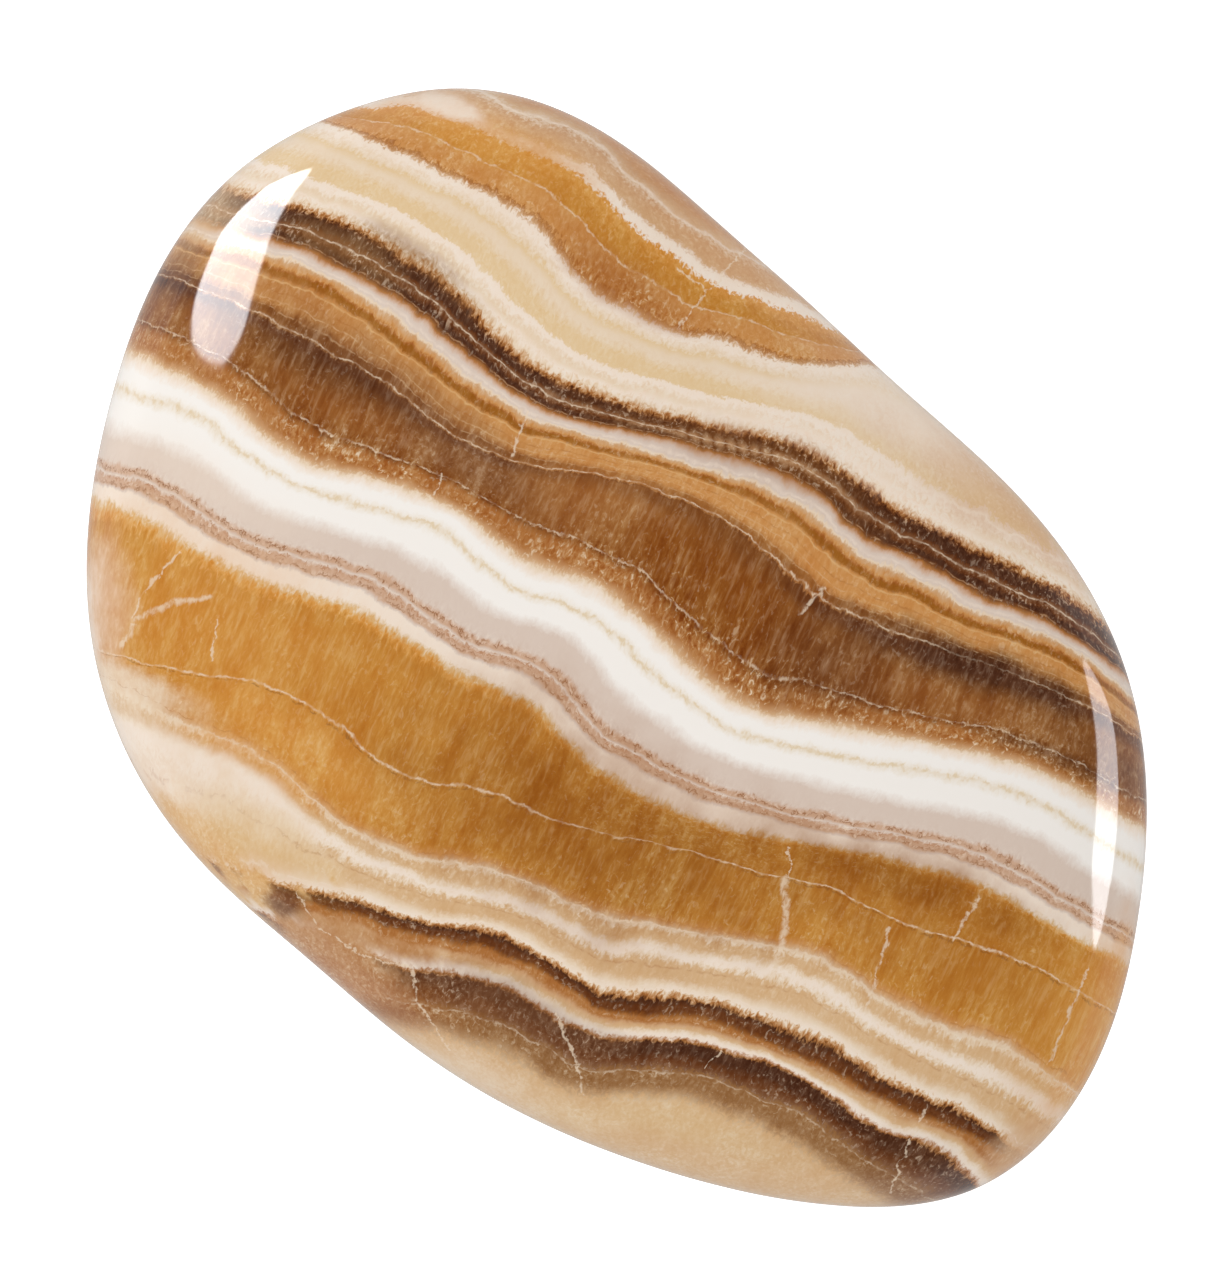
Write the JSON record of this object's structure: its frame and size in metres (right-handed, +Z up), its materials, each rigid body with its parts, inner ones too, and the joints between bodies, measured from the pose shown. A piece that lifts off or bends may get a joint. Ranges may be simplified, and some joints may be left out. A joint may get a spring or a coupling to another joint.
{
  "type": "banded aragonite",
  "caption": "Loose tumbled and polished pebble of wavy-banded aragonite: a flat, rounded oblong with a full pillow section, lying on its worn underside.",
  "frame": {"origin": "under the middle of the stone's plan, on the surface that it rests on", "axes": "+X along the stone's length, +Y across its broad face, +Z up through its thickness"},
  "size_m": [0.048, 0.032, 0.015],
  "materials": {
    "polished_aragonite": "polished"
  },
  "bodies": {
    "root": {"aragonite_pebble": "polished_aragonite"}
  },
  "joints": []
}
